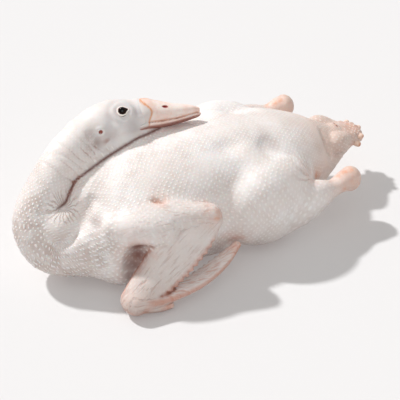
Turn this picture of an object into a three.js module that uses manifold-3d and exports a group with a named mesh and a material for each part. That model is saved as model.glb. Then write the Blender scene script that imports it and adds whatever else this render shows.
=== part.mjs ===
import * as THREE from "three";
import Module from "manifold-3d";

const wasm = await Module();
wasm.setup();

// A whole plucked duck, raw, lying on its breast with the neck bent back and the head on its back.
// Millimetres. +X runs from the breast to the tail, -Y is the duck's left side and +Z is up.
// The origin is in the middle of the flat spot under the belly that the duck rests on.

// Rounded masses of the trunk: centre, half sizes along x, y, z, and turn about x, y, z in degrees.
const breast = { at: [-62, -5, 40], radii: [76, 65, 47] };
const keel = { at: [-88, -34, 25], radii: [40, 32, 27] };
const belly = { at: [22, 0, 42], radii: [88, 62, 44] };
const back = { at: [-8, 0, 60], radii: [108, 50, 38], turn: [0, 2, 0] };
const thigh = { at: [36, -50, 42], radii: [47, 28, 41], turn: [0, -4, 6] };
const neckRoll = { at: [-141, -8, 52], radii: [20, 18, 20] };
const waist = { at: [-14, -40, 24], radii: [44, 21, 24] };
const farShoulder = { at: [-92, 32, 50], radii: [30, 27, 26] };

// Every long part is a list of stations: x, y, z, half width across, half height and lean in degrees.
const rumpRows = [
  [70, 0, 46, 50, 36], [100, 0, 44, 38, 29], [125, 0, 42, 22, 19], [143, 0, 43, 14, 10],
];
const ventRows = [
  [100, -4, 26, 32, 22], [120, -3, 30, 21, 16], [138, -1, 36, 14, 11],
];
const hipRows = [
  [32, -44, 68, 12, 12], [25, -30, 78, 12, 11], [20, -12, 82, 10, 9],
];
const mantleRows = [
  [-130, -8, 55, 14, 12], [-114, 2, 69, 15, 15], [-95, 12, 74, 17, 16], [-76, 19, 76, 18, 16],
  [-56, 22, 78, 18, 16], [-34, 20, 81, 16, 14],
];
const neckRows = [
  [-72, -12, 42, 46, 40], [-100, -15, 39, 42, 34], [-126, -13, 35, 33, 29], [-150, -3, 35, 25, 26],
  [-157, 8, 56, 21, 22], [-141, 17, 80, 18, 19], [-119, 29, 96, 16.5, 18], [-100, 37, 103, 16, 17],
];
const throatRows = [
  [-118, 19, 91, 11, 11], [-100, 23, 90, 12, 12], [-80, 27, 92, 11.5, 11.5], [-58, 29, 98, 8.5, 8.5],
  [-46, 27, 97.5, 5.5, 5.5], [-35, 25.5, 97, 2.5, 2.5],
];
const headRows = [
  [-100, 39, 104, 14, 15, 50], [-84, 41, 106, 16, 18.5, 50], [-68, 40, 107, 16.5, 20, 50],
  [-57, 37.5, 109.5, 14.5, 17, 50], [-48, 36, 110.5, 12, 14.5, 50],
];
const upperBillRows = [
  [-50, 34.9, 109.7, 9.5, 11.4, 50], [-42, 34.3, 110.7, 11, 13.4, 50], [-33, 32.9, 108.7, 10.8, 11.7, 50],
  [-16, 29.9, 105, 10.2, 8.6, 50], [-2, 28.6, 102.6, 9.6, 5.9, 50], [5, 27.8, 101, 7.6, 3.6, 50],
];
const lowerBillRows = [
  [-50, 27, 101.4, 8, 2.6, 50], [-42, 26.2, 101.5, 9.5, 2.4, 50], [-33, 25, 100.3, 9.2, 2, 50],
  [-16, 24.4, 98.7, 8.8, 1.6, 50], [-1, 25, 98, 8.4, 1.5, 50], [7, 25.5, 97.4, 6, 1.4, 50],
];
const leftShankRows = [
  [38, -56, 36, 22, 28], [64, -62, 38, 16, 22], [84, -63, 41, 11, 14.5], [97, -62, 42, 8, 8],
  [108, -60, 43, 9, 9.5], [117, -58, 42, 10.5, 12],
];
const rightShankRows = [
  [38, 56, 38, 22, 28], [64, 62, 41, 16, 22], [84, 63, 45, 10, 14], [100, 61, 47, 6.5, 7],
  [110, 59, 49, 9, 9.5], [117, 58, 49, 10.5, 12],
];
const tailRows = [
  [138, 0, 43, 16, 12], [149, 0, 43, 15, 9], [158, 0, 42, 13, 6.5],
];
const tailLobeRows = [
  [120, -14, 49, 7, 8], [128, -15, 49, 10.5, 11], [137, -13, 46, 9, 10], [146, -9, 43, 6.5, 7],
];
const glandRows = [
  [128, 0, 50, 7, 5], [136, 0, 51, 8, 7], [143, 0, 50, 5, 4],
];
const upperArmRows = [
  [-88, -42, 56, 20, 20], [-66, -52, 62, 15, 17], [-46, -62, 65, 10, 13], [-31, -67, 65, 9.5, 11],
];
const webRows = [
  [-112, -42, 66, 6, 8, 30], [-98, -53, 66, 7, 10, 30], [-84, -60, 64, 7, 11, 30], [-70, -64, 62, 7, 10, 30],
];
const forearmRows = [
  [-31, -67, 64, 12, 8, 38], [-48, -71, 54, 17, 8, 38], [-70, -74, 40, 19, 8, 38],
  [-92, -77, 25, 17, 8.5, 38], [-110, -80, 12, 13, 11, 38],
];
const handRows = [
  [-110, -80, 12, 12, 10, 20], [-86, -84, 11, 12, 6.5, 20], [-56, -84, 13, 12.5, 5, 20],
  [-28, -78, 18, 10, 4, 20], [-6, -70, 24, 4, 3, 20],
];
const thumbRows = [
  [-104, -86, 8, 6, 5], [-92, -90, 6, 4.5, 4], [-82, -92, 5, 3, 2.5],
];

// Hollows that are pressed into the flesh: beside the hip, under the wing's skin web, where the
// upper arm leaves the back, the fold between neck and breast, and the crease before the tail.
const rearFlank = { at: [51, -33, 94], radii: [15, 13, 12] };
const frontFlank = { at: [10, -27, 102], radii: [17, 13, 11] };
const armpit = { at: [-68, -46, 86], radii: [11, 4, 8], turn: [0, 0, -30] };
const webHollowRows = [
  [-94, -68, 52, 10, 12], [-99, -68, 43, 13, 13], [-105, -70, 31, 12, 12], [-110, -72, 20, 8, 9],
];
const neckFoldRows = [
  [-117, -17, 80, 5, 5], [-125, -19.5, 74.5, 7.5, 7.5], [-132, -25, 68.5, 8, 8], [-140, -29, 63, 8, 8],
  [-148, -31, 57.5, 7, 7], [-156, -30, 51, 5, 5],
];
const tailFoldRows = [
  [116, -13, 67.5, 3, 3], [115.5, -20, 64, 5, 5], [115.5, -26, 58, 5, 5], [118, -29, 49, 4, 4],
];

// How softly one mass runs into the next: the width of the fillet between them.
const trunkBlend = 25;
const massBlend = 14;
const thighBlend = 12;
const webBlend = 11;
const foldBlend = 8;
const limbBlend = 7;
const wingBlend = 5;
const fineBlend = 4;
const billBlend = 1;

// The neck runs broadly into the breast below, and lies on the back above in a tight crease.
const neckRootBlend = 15;
const neckCreaseBlend = 3;
const creaseStart = 70;
const creaseEnd = 82;

// Eyeballs and the small openings of the head, each placed by its share of the head's or bill's
// length and its angle in degrees round it, from the left side towards the crown.
const eyeRadius = 5;
const eyeGap = 0.3;
const eyeCentres = { eye_left: [-62.5, 33.1, 119.4], eye_right: [-54.8, 47, 101.7] };
const earPlace = { share: 0.2, angle: -28 };
const nostrilPlace = { share: 0.44, angle: 17 };
const earSize = [2.6, 2, 2];
const nostrilSize = [2.8, 1.4, 1.4];

// Quill stubs in an arc round the rear edge of the tail.
const stubCount = 7;
const stubArc = 130;
const stubCentre = [147, 0, 42];
const stubRing = 16.5;
const stubSize = [4, 3.2, 3.2];

// The skin is found on a lattice with this spacing, and flats are then drawn with fewer corners as
// long as none moves further than the tolerance.
const fleshSpacing = 5;
const fineSpacing = 2.5;
const fleshTolerance = 0.75;
const fineTolerance = 0.4;
const seamTolerance = 0.15;
const edgeTolerance = 0.01;
const partedShare = 0.03;
const fleshBox = { min: [-190, -105, -8], max: [175, 105, 135] };
const billBox = { min: [-66, 8, 84], max: [16, 62, 134] };
const handBox = { min: [-130, -104, -6], max: [8, -58, 34] };
const stepsPerRow = 6;
const farAway = 100;
const cull = 18;

const skinColour = 0xe6d9d4;
const eyeColour = 0x0c0a0a;

// Signed distance to a turned ellipsoid, with the box round it.
function egg({ at, radii, turn = [0, 0, 0] }) {
  const angles = turn.map(THREE.MathUtils.degToRad);
  const spin = new THREE.Euler(angles[0], angles[1], angles[2], "ZYX");
  const m = new THREE.Matrix4().makeRotationFromEuler(spin).elements;
  const [a, b, c] = radii;
  const distance = (px, py, pz) => {
    const [dx, dy, dz] = [px - at[0], py - at[1], pz - at[2]];
    const x = (m[0] * dx + m[1] * dy + m[2] * dz) / a;
    const y = (m[4] * dx + m[5] * dy + m[6] * dz) / b;
    const z = (m[8] * dx + m[9] * dy + m[10] * dz) / c;
    const near = Math.sqrt(x * x + y * y + z * z);
    const steep = Math.sqrt((x / a) ** 2 + (y / b) ** 2 + (z / c) ** 2);
    return (near * (near - 1)) / Math.max(steep, 1e-9);
  };
  const reach = [0, 1, 2].map((i) => Math.hypot(m[i] * a, m[4 + i] * b, m[8 + i] * c));
  return { distance, low: at.map((v, i) => v - reach[i]), high: at.map((v, i) => v + reach[i]) };
}

// Stations and the steps between them, on a smooth run.
function smoothRun(rows) {
  const full = rows.map((row) => [...row, 0].slice(0, 6));
  const beyond = (a, b) => a.map((v, j) => 2 * v - b[j]);
  const last = full.length - 1;
  const ends = [beyond(full[0], full[1]), ...full, beyond(full[last], full[last - 1])];
  const run = [];
  for (let i = 1; i <= last; i += 1) {
    const [a, b, c, d] = ends.slice(i - 1, i + 3);
    for (let k = 0; k < stepsPerRow; k += 1) {
      const t = k / stepsPerRow;
      run.push(b.map((v, j) => {
        const bend = 2 * a[j] - 5 * v + 4 * c[j] - d[j] + t * (3 * (v - c[j]) + d[j] - a[j]);
        return v + 0.5 * t * (c[j] - a[j] + t * bend);
      }));
    }
  }
  return [...run, full[last]];
}

// A long part: its frames along the smooth run, its distance, and the box round it. Its sections
// lie level, or along a given direction where the run turns upwards.
function limb(rows, across = null) {
  const run = smoothRun(rows);
  const centres = run.map(([x, y, z]) => new THREE.Vector3(x, y, z));
  const frames = centres.map((centre, i) => {
    const next = centres[Math.min(i + 1, centres.length - 1)];
    const along = next.clone().sub(centres[Math.max(i - 1, 0)]).normalize();
    const level = across ? across.clone().projectOnPlane(along) : along.clone().cross(upward);
    const side = level.normalize().applyAxisAngle(along, -THREE.MathUtils.degToRad(run[i][5] ?? 0));
    const up = new THREE.Vector3().crossVectors(side, along);
    return { centre, along, side, up, halfWidth: run[i][3], halfHeight: run[i][4] };
  });
  const table = frames.map(({ centre, side, up, along, halfWidth, halfHeight }) => (
    [...centre, ...side, ...up, ...along, halfWidth, halfHeight]
  ));
  const distance = (px, py, pz) => {
    let best = Infinity;
    let which = 0;
    let where = 0;
    for (let i = 0; i < table.length - 1; i += 1) {
      const [ax, ay, az] = table[i];
      const dx = table[i + 1][0] - ax;
      const dy = table[i + 1][1] - ay;
      const dz = table[i + 1][2] - az;
      const along = ((px - ax) * dx + (py - ay) * dy + (pz - az) * dz) / (dx * dx + dy * dy + dz * dz);
      const t = Math.min(Math.max(along, 0), 1);
      const square = (px - ax - t * dx) ** 2 + (py - ay - t * dy) ** 2 + (pz - az - t * dz) ** 2;
      if (square < best) {
        best = square;
        which = i;
        where = t;
      }
    }
    const a = table[which];
    const b = table[which + 1];
    const mix = (j) => a[j] + (b[j] - a[j]) * where;
    const x = px - mix(0);
    const y = py - mix(1);
    const z = pz - mix(2);
    const shareOf = (j, half) => (x * mix(j) + y * mix(j + 1) + z * mix(j + 2)) / half;
    const cap = Math.min(mix(12), mix(13));
    const scaled = Math.hypot(shareOf(3, mix(12)), shareOf(6, mix(13)), shareOf(9, cap));
    const length = Math.hypot(x, y, z);
    return scaled < 1e-3 ? -cap : length - length / scaled;
  };
  const edges = (sign, pick) => [0, 1, 2].map((j) => (
    pick(...run.map((row) => row[j] + sign * Math.max(row[3], row[4])))
  ));
  return { frames, distance, low: edges(-1, Math.min), high: edges(1, Math.max) };
}

const upward = new THREE.Vector3(0, 0, 1);
const neckAcross = new THREE.Vector3(0, 1, 0);

// The same shape on both sides of the duck.
function bothLimbs(rows) {
  return [limb(rows), limb(rows.map(([x, y, z, side, up, lean = 0]) => [x, -y, z, side, up, -lean]))];
}

function bothEggs({ at: [x, y, z], radii, turn: [tx, ty, tz] = [0, 0, 0] }) {
  const near = { at: [x, y, z], radii, turn: [tx, ty, tz] };
  const far = { at: [x, -y, z], radii, turn: [-tx, ty, -tz] };
  return [egg(near), egg(far)];
}

function withBlend(width, ...shapes) {
  return shapes.flat().map((shape) => ({ ...shape, width }));
}

// Runs shapes into a distance one after the other, each with its fillet.
function joined(start, shapes, x, y, z) {
  let total = start;
  for (const { distance, low, high, width } of shapes) {
    if (x < low[0] - cull || y < low[1] - cull || z < low[2] - cull) continue;
    if (x > high[0] + cull || y > high[1] + cull || z > high[2] + cull) continue;
    const own = distance(x, y, z);
    const fillet = typeof width === "function" ? width(z) : width;
    const overlap = Math.max(fillet - Math.abs(total - own), 0) / fillet;
    total = Math.min(total, own) - (overlap ** 3 * fillet) / 6;
  }
  return total;
}

function neckBlend(z) {
  const rise = THREE.MathUtils.smoothstep(z, creaseStart, creaseEnd);
  return neckRootBlend + (neckCreaseBlend - neckRootBlend) * rise;
}

const head = limb(headRows);
const upperBill = limb(upperBillRows);

const masses = [
  ...withBlend(trunkBlend, egg(breast), egg(belly), egg(back)),
  ...withBlend(massBlend, egg(keel), egg(farShoulder), bothEggs(waist)),
  ...withBlend(trunkBlend, limb(rumpRows)),
  ...withBlend(massBlend, limb(ventRows), limb(mantleRows), egg(neckRoll)),
  ...withBlend(thighBlend, bothEggs(thigh)),
  ...withBlend(massBlend, bothLimbs(hipRows), bothLimbs(upperArmRows)),
  ...withBlend(neckBlend, limb(neckRows, neckAcross)),
];
const hollows = [
  ...withBlend(limbBlend, limb(neckFoldRows)),
  ...withBlend(foldBlend, bothEggs(rearFlank), bothEggs(frontFlank), bothLimbs(webHollowRows)),
  ...withBlend(fineBlend, bothEggs(armpit), bothLimbs(tailFoldRows)),
];
const attached = [
  ...withBlend(foldBlend, limb(throatRows)),
  ...withBlend(fineBlend, head),
  ...withBlend(limbBlend, limb(leftShankRows), limb(rightShankRows)),
  ...withBlend(wingBlend, bothLimbs(forearmRows)),
  ...withBlend(webBlend, bothLimbs(webRows)),
  ...withBlend(limbBlend, limb(tailRows)),
  ...withBlend(fineBlend, bothLimbs(tailLobeRows), limb(glandRows)),
];
const billHalves = withBlend(billBlend, upperBill, limb(lowerBillRows));
const handParts = withBlend(fineBlend, limb(handRows), limb(thumbRows));

// Distances here are measured into the solid, as the lattice search asks.
function fleshDepth([x, y, z]) {
  const full = joined(farAway, masses, x, y, z);
  const pressed = -joined(-full, hollows, x, y, z);
  return -joined(pressed, attached, x, y, z);
}

function billDepth([x, y, z]) {
  return -joined(farAway, billHalves, x, y, z);
}

function handDepth([x, y, z]) {
  return -joined(farAway, handParts, x, y, z);
}

// The surface of a depth function, with as few corners as its tolerance allows.
function drawn(depth, box, spacing, tolerance) {
  return wasm.Manifold.levelSet(depth, box, spacing, 0, edgeTolerance).simplify(tolerance);
}

// A solid made of a three.js geometry.
function solid(geometry) {
  const { position } = geometry.deleteAttribute("normal").deleteAttribute("uv").attributes;
  const mesh = new wasm.Mesh({
    numProp: 3,
    vertProperties: new Float32Array(position.array),
    triVerts: new Uint32Array(geometry.getIndex().array),
  });
  mesh.merge();
  return new wasm.Manifold(mesh);
}

function geometryOf(manifold) {
  const { vertProperties, triVerts } = manifold.getMesh();
  const geometry = new THREE.BufferGeometry();
  geometry.setAttribute("position", new THREE.BufferAttribute(new Float32Array(vertProperties), 3));
  geometry.setIndex(new THREE.BufferAttribute(new Uint32Array(triVerts), 1));
  geometry.computeVertexNormals();
  return geometry;
}

// Where two folds of skin touch in a single corner, each fold's corner draws back a little.
function parted(geometry) {
  const { position } = geometry.attributes;
  const order = geometry.getIndex().array;
  const corners = Array.from({ length: position.count }, (_, i) => (
    new THREE.Vector3().fromBufferAttribute(position, i)
  ));
  const sums = corners.map(() => ({ total: new THREE.Vector3(), count: 0 }));
  order.forEach((corner, i) => {
    const next = order[i % 3 === 2 ? i - 2 : i + 1];
    sums[corner].total.add(corners[next]);
    sums[corner].count += 1;
  });
  const key = (corner) => corner.toArray().map((v) => Math.round(v * 1e3)).join();
  const seen = new Map();
  corners.forEach((corner) => seen.set(key(corner), (seen.get(key(corner)) ?? 0) + 1));
  corners.forEach((corner, i) => {
    if (seen.get(key(corner)) === 1) return;
    const { total, count } = sums[i];
    position.setXYZ(i, ...corner.clone().lerp(total.divideScalar(count), partedShare));
  });
  return geometry;
}

// A small pit in the skin of a long part, on the left side or, mirrored, on the right.
function pit({ frames }, { share, angle }, mirror, size) {
  const { centre, side, up, along, halfWidth, halfHeight } = frames[Math.round(share * (frames.length - 1))];
  const turn = THREE.MathUtils.degToRad(angle);
  const spot = centre.clone().addScaledVector(side, mirror * halfWidth * Math.cos(turn));
  spot.addScaledVector(up, halfHeight * Math.sin(turn));
  const lie = new THREE.Quaternion().setFromUnitVectors(new THREE.Vector3(1, 0, 0), along);
  return solid(new THREE.SphereGeometry(1, 8, 6).scale(...size).applyQuaternion(lie).translate(...spot));
}

function stub(i) {
  const turn = THREE.MathUtils.degToRad(stubArc * (i / (stubCount - 1) - 0.5));
  const ball = new THREE.SphereGeometry(1, 7, 5).scale(...stubSize).translate(stubRing, 0, 0);
  return solid(ball.rotateZ(turn).translate(...stubCentre));
}

const skinMaterial = new THREE.MeshStandardMaterial({ color: skinColour, roughness: 0.55, metalness: 0 });
const eyeMaterial = new THREE.MeshStandardMaterial({ color: eyeColour, roughness: 0.08, metalness: 0 });

const duck = new THREE.Group();
const flesh = drawn(fleshDepth, fleshBox, fleshSpacing, fleshTolerance);
const bill = drawn(billDepth, billBox, fineSpacing, fineTolerance);
const hand = drawn(handDepth, handBox, fineSpacing, fineTolerance);
let carcass = flesh.add(bill).add(hand).add(hand.mirror([0, 1, 0]));
for (let i = 0; i < stubCount; i += 1) carcass = carcass.add(stub(i));

for (const [name, centre] of Object.entries(eyeCentres)) {
  const mirror = name === "eye_left" ? 1 : -1;
  const socket = new THREE.SphereGeometry(eyeRadius + eyeGap, 14, 10).translate(...centre);
  carcass = carcass.subtract(solid(socket));
  carcass = carcass.subtract(pit(head, earPlace, mirror, earSize));
  carcass = carcass.subtract(pit(upperBill, nostrilPlace, mirror, nostrilSize));
  const eye = new THREE.Mesh(new THREE.SphereGeometry(eyeRadius, 14, 10), eyeMaterial);
  eye.name = name;
  eye.position.set(...centre);
  duck.add(eye);
}

const below = new THREE.BoxGeometry(600, 400, 80).translate(0, 0, -40);
carcass = carcass.subtract(solid(below));
const whole = carcass.simplify(seamTolerance).decompose().sort((a, b) => b.volume() - a.volume())[0];
const skin = new THREE.Mesh(parted(geometryOf(whole)), skinMaterial);
skin.name = "duck";
duck.add(skin);

export default duck;
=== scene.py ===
import math
import bpy
import numpy as np
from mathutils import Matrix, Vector


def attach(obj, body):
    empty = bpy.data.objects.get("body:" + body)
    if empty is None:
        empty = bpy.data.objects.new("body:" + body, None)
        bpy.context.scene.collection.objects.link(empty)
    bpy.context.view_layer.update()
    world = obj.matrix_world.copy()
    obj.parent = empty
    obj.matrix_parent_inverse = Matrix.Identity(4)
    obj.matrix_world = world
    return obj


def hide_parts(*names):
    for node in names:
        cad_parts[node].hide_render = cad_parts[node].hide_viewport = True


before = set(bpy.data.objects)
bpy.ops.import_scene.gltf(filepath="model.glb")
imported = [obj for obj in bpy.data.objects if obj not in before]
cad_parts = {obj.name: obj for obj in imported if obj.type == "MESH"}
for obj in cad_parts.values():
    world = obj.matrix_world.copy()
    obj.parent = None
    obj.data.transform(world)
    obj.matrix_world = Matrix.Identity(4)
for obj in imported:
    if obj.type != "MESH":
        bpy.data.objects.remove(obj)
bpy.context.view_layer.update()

# Skin and flesh. The real piece is the whole plucked bird in one: loose, moist, fatty skin over
# breast, legs, wings and neck. Each mass is an egg or a tapering limb, in millimetres, and they run
# into each other with a fillet, as skin does over muscle.
BREAST = dict(at=(-62, -5, 40), radii=(76, 65, 47))
KEEL = dict(at=(-88, -34, 25), radii=(40, 32, 27))
BELLY = dict(at=(22, 0, 42), radii=(88, 62, 44))
BACK = dict(at=(-8, 0, 60), radii=(108, 50, 38), turn=(0, 2, 0))
THIGH = dict(at=(36, -50, 42), radii=(47, 28, 41), turn=(0, -4, 6))
NECK_ROLL = dict(at=(-141, -8, 52), radii=(20, 18, 20))
WAIST = dict(at=(-14, -40, 24), radii=(44, 21, 24))
FAR_SHOULDER = dict(at=(-92, 32, 50), radii=(30, 27, 26))

# Stations of each limb: x, y, z, half width across, half height, lean in degrees.
RUMP = [(70, 0, 46, 50, 36), (100, 0, 44, 38, 29), (125, 0, 42, 22, 19), (143, 0, 43, 14, 10)]
VENT = [(100, -4, 26, 32, 22), (120, -3, 30, 21, 16), (138, -1, 36, 14, 11)]
HIP = [(32, -44, 68, 12, 12), (25, -30, 78, 12, 11), (20, -12, 82, 10, 9)]
MANTLE = [
    (-130, -8, 55, 14, 12), (-114, 2, 69, 15, 15), (-95, 12, 74, 17, 16), (-76, 19, 76, 18, 16),
    (-56, 22, 78, 18, 16), (-34, 20, 81, 16, 14),
]
NECK = [
    (-72, -12, 42, 46, 40), (-100, -15, 39, 42, 34), (-126, -13, 35, 33, 29), (-150, -3, 35, 25, 26),
    (-157, 8, 56, 21, 22), (-141, 17, 80, 18, 19), (-119, 29, 96, 16.5, 18), (-100, 37, 103, 16, 17),
]
THROAT = [
    (-118, 19, 91, 11, 11), (-100, 23, 90, 12, 12), (-80, 27, 92, 11.5, 11.5), (-58, 29, 98, 8.5, 8.5),
    (-46, 27, 97.5, 5.5, 5.5), (-35, 25.5, 97, 2.5, 2.5),
]
HEAD = [
    (-100, 39, 104, 14, 15, 50), (-84, 41, 106, 16, 18.5, 50), (-68, 40, 107, 16.5, 20, 50),
    (-57, 37.5, 109.5, 14.5, 17, 50), (-48, 36, 110.5, 12, 14.5, 50),
]
LEFT_SHANK = [
    (38, -56, 36, 22, 28), (64, -62, 38, 16, 22), (84, -63, 41, 11, 14.5), (97, -62, 42, 8, 8),
    (108, -60, 43, 9, 9.5), (117, -58, 42, 10.5, 12),
]
RIGHT_SHANK = [
    (38, 56, 38, 22, 28), (64, 62, 41, 16, 22), (84, 63, 45, 10, 14), (100, 61, 47, 6.5, 7),
    (110, 59, 49, 9, 9.5), (117, 58, 49, 10.5, 12),
]
TAIL = [(138, 0, 43, 16, 12), (149, 0, 43, 15, 9), (158, 0, 42, 13, 6.5)]
TAIL_LOBE = [(120, -14, 49, 7, 8), (128, -15, 49, 10.5, 11), (137, -13, 46, 9, 10), (146, -9, 43, 6.5, 7)]
GLAND = [(128, 0, 50, 7, 5), (136, 0, 51, 8, 7), (143, 0, 50, 5, 4)]
UPPER_ARM = [(-88, -42, 56, 20, 20), (-66, -52, 62, 15, 17), (-46, -62, 65, 10, 13), (-31, -67, 65, 9.5, 11)]
WEB = [
    (-112, -42, 66, 6, 8, 30), (-98, -53, 66, 7, 10, 30), (-84, -60, 64, 7, 11, 30),
    (-70, -64, 62, 7, 10, 30),
]
FOREARM = [
    (-31, -67, 64, 12, 8, 38), (-48, -71, 54, 17, 8, 38), (-70, -74, 40, 19, 8, 38),
    (-92, -77, 25, 17, 8.5, 38), (-110, -80, 12, 13, 11, 38),
]
HAND = [
    (-110, -80, 12, 12, 10, 20), (-86, -84, 11, 12, 6.5, 20), (-56, -84, 13, 12.5, 5, 20),
    (-28, -78, 18, 10, 4, 20), (-6, -70, 24, 4, 3, 20),
]
THUMB = [(-104, -86, 8, 6, 5), (-92, -90, 6, 4.5, 4), (-82, -92, 5, 3, 2.5)]

# Hollows that other masses press into the flesh: beside the hip, under the wing's skin web, where
# the upper arm leaves the back, the fold between neck and breast, and the crease before the tail.
REAR_FLANK = dict(at=(51, -33, 94), radii=(15, 13, 12))
FRONT_FLANK = dict(at=(10, -27, 102), radii=(17, 13, 11))
WEB_HOLLOW = [(-94, -68, 52, 10, 12), (-99, -68, 43, 13, 13), (-105, -70, 31, 12, 12), (-110, -72, 20, 8, 9)]
ARMPIT = dict(at=(-68, -46, 86), radii=(11, 4, 8), turn=(0, 0, -30))
NECK_FOLD = [
    (-117, -17, 80, 5, 5), (-125, -19.5, 74.5, 7.5, 7.5), (-132, -25, 68.5, 8, 8), (-140, -29, 63, 8, 8),
    (-148, -31, 57.5, 7, 7), (-156, -30, 51, 5, 5),
]
TAIL_FOLD = [(116, -13, 67.5, 3, 3), (115.5, -20, 64, 5, 5), (115.5, -26, 58, 5, 5), (118, -29, 49, 4, 4)]

# Widths of the fillets, from the broad ones between the masses of the trunk to the fine ones.
TRUNK_BLEND, NECK_ROOT_BLEND, MANTLE_BLEND, MASS_BLEND, THIGH_BLEND, WEB_BLEND = 25, 15, 16, 14, 12, 11
ROLL_BLEND, FOLD_BLEND, LIMB_BLEND, NECK_FOLD_BLEND, WING_BLEND, FINE_BLEND = 10, 8, 7, 6, 5, 4
CREASE_BLEND = 3

# The mesh's cell, how far from a shape its fillet can still reach, and a distance far outside.
SKIN_CELL = 1.55
CULL = 18
FAR = 100.0


def turned(rx, ry, rz):
    cx, cy, cz = np.cos(np.radians([rx, ry, rz]))
    sx, sy, sz = np.sin(np.radians([rx, ry, rz]))
    about_x = np.array([[1, 0, 0], [0, cx, -sx], [0, sx, cx]])
    about_y = np.array([[cy, 0, sy], [0, 1, 0], [-sy, 0, cy]])
    about_z = np.array([[cz, -sz, 0], [sz, cz, 0], [0, 0, 1]])
    return about_z @ about_y @ about_x


class Egg:
    """A turned ellipsoid."""

    def __init__(self, at, radii, turn=(0, 0, 0)):
        self.at = np.array(at, float)
        self.radii = np.array(radii, float)
        self.axes = turned(*turn)
        reach = np.sqrt(((self.axes * self.radii) ** 2).sum(1))
        self.low, self.high = self.at - reach, self.at + reach

    def distance(self, p):
        q = (p - self.at) @ self.axes
        near = np.linalg.norm(q / self.radii, axis=1) + 1e-9
        steep = np.linalg.norm(q / self.radii ** 2, axis=1) + 1e-9
        return near * (near - 1) / steep


class Limb:
    """Elliptical sections along a smooth run through its stations."""

    def __init__(self, stations, across=None, steps=6):
        rows = np.array([list(row) + [0] * (6 - len(row)) for row in stations], float)
        ends = np.vstack([2 * rows[0] - rows[1], rows, 2 * rows[-1] - rows[-2]])
        run = []
        for i in range(1, len(ends) - 2):
            a, b, c, d = ends[i - 1:i + 3]
            t = np.linspace(0, 1, steps, endpoint=False)[:, None]
            run.append(b + 0.5 * t * (c - a + t * (2 * a - 5 * b + 4 * c - d + t * (3 * (b - c) + d - a))))
        run = np.vstack(run + [rows[-1:]])
        self.centre, self.wide, self.tall = run[:, :3], run[:, 3], run[:, 4]
        along = np.gradient(self.centre, axis=0)
        self.along = along / np.linalg.norm(along, axis=1)[:, None]
        if across is None:
            side = np.cross(self.along, (0, 0, 1))
        else:
            side = np.array(across) - self.along * (self.along @ np.array(across))[:, None]
        side /= np.linalg.norm(side, axis=1)[:, None]
        up = np.cross(side, self.along)
        lean = np.radians(run[:, 5])[:, None]
        self.side = side * np.cos(lean) + up * np.sin(lean)
        self.up = up * np.cos(lean) - side * np.sin(lean)
        steps_long = np.linalg.norm(np.diff(self.centre, axis=0), axis=1)
        self.length = np.concatenate([[0], np.cumsum(steps_long)])
        reach = np.maximum(self.wide, self.tall)[:, None]
        self.low, self.high = (self.centre - reach).min(0), (self.centre + reach).max(0)

    def nearest(self, p):
        best = np.full(len(p), 1e18)
        which = np.zeros(len(p), int)
        where = np.zeros(len(p))
        for i in range(len(self.centre) - 1):
            step = self.centre[i + 1] - self.centre[i]
            q = p - self.centre[i]
            t = np.clip(q @ step / (step @ step), 0, 1)
            square = ((q - t[:, None] * step) ** 2).sum(1)
            closer = square < best
            best[closer], which[closer], where[closer] = square[closer], i, t[closer]
        return which, where

    def local(self, p):
        """Length along the limb, and the place over the section there in half sizes."""
        i, t = self.nearest(p)

        def mix(values):
            share = t if values.ndim == 1 else t[:, None]
            return values[i] * (1 - share) + values[i + 1] * share

        q = p - mix(self.centre)
        wide, tall = mix(self.wide), mix(self.tall)
        s = (q * mix(self.side)).sum(1) / wide
        u = (q * mix(self.up)).sum(1) / tall
        c = (q * mix(self.along)).sum(1) / np.minimum(wide, tall)
        return mix(self.length), s, u, c, wide, tall, np.linalg.norm(q, axis=1)

    def distance(self, p):
        _, s, u, c, wide, tall, length = self.local(p)
        scaled = np.sqrt(s * s + u * u + c * c)
        return np.where(scaled < 1e-3, -np.minimum(wide, tall), length - length / np.maximum(scaled, 1e-6))


def mirrored(stations):
    return [(x, -y, z, wide, tall) + ((-lean[0],) if lean else ()) for x, y, z, wide, tall, *lean in stations]


def both_eggs(at, radii, turn=(0, 0, 0)):
    far = Egg((at[0], -at[1], at[2]), radii, (-turn[0], turn[1], -turn[2]))
    return [Egg(at, radii, turn), far]


def both_limbs(stations):
    return [Limb(stations), Limb(mirrored(stations))]


def blend(a, b, width):
    overlap = np.maximum(width - np.abs(a - b), 0) / width
    return np.minimum(a, b) - overlap ** 3 * width / 6


def joined(total, shapes, p):
    """The distance with masses run into it, each given as (shape, width of its fillet)."""
    for shape, width in shapes:
        near = np.all((p > shape.low - CULL) & (p < shape.high + CULL), axis=1)
        if near.any():
            q = p[near]
            total[near] = blend(total[near], shape.distance(q), width(q) if callable(width) else width)
    return total


def pressed(total, shapes, p):
    """The distance with masses pressed into it."""
    return -joined(-total, shapes, p)


def smooth(x, low, high):
    t = np.clip((x - low) / (high - low), 0, 1)
    return t * t * (3 - 2 * t)


def neck_fillet(p):
    """Broad at the neck's root, and a tight crease where the neck lies on the back."""
    return NECK_ROOT_BLEND + (CREASE_BLEND - NECK_ROOT_BLEND) * smooth(p[:, 2], 70, 82)


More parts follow.
